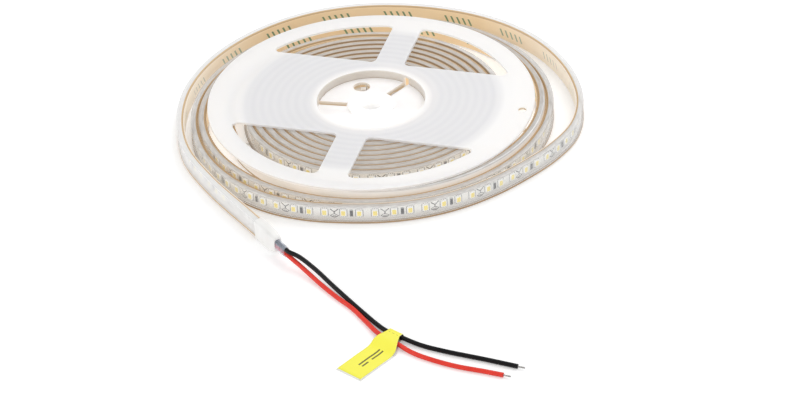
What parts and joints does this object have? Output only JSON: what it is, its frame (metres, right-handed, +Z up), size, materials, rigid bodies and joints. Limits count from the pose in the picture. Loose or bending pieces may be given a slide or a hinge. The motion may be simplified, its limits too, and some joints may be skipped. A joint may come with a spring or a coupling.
{
  "type": "led strip light reel",
  "caption": "Flat white plastic reel wound with a flexible light strip in a clear silicone sleeve, with loose outer turns and two lead wires with a folded flag label.",
  "frame": {"origin": "on the table under the middle of the reel with its strip and end cap, the loose wires not counted", "axes": "+Z up along the reel's axis, -Y towards the free end and its wires"},
  "size_m": [0.211, 0.333, 0.0135],
  "materials": {
    "reel_plastic": "white moulded plastic, slightly translucent",
    "clear_silicone": "clear silicone with a soft sheen",
    "circuit": "white flexible circuit with yellow light emitters",
    "tan_liner": "tan adhesive tape with its liner",
    "milky_silicone": "milky silicone",
    "clear_tube": "clear glossy tube",
    "black_insulation": "black cable insulation",
    "red_insulation": "red cable insulation",
    "tinned_copper": "twisted, tinned strands",
    "yellow_label": "yellow coated label"
  },
  "bodies": {
    "root": {"upper_flange": "reel_plastic", "upper_hub": "reel_plastic", "lower_flange": "reel_plastic", "lower_hub": "reel_plastic", "silicone_sleeve": "clear_silicone", "flex_circuit": "circuit", "backing_tape": "tan_liner", "inner_end_plug": "clear_silicone", "lead_end_cap": "milky_silicone", "shrink_tube": "clear_tube", "black_wire": "black_insulation", "red_wire": "red_insulation", "black_tinned_end": "tinned_copper", "red_tinned_end": "tinned_copper", "wire_label": "yellow_label"}
  },
  "joints": []
}
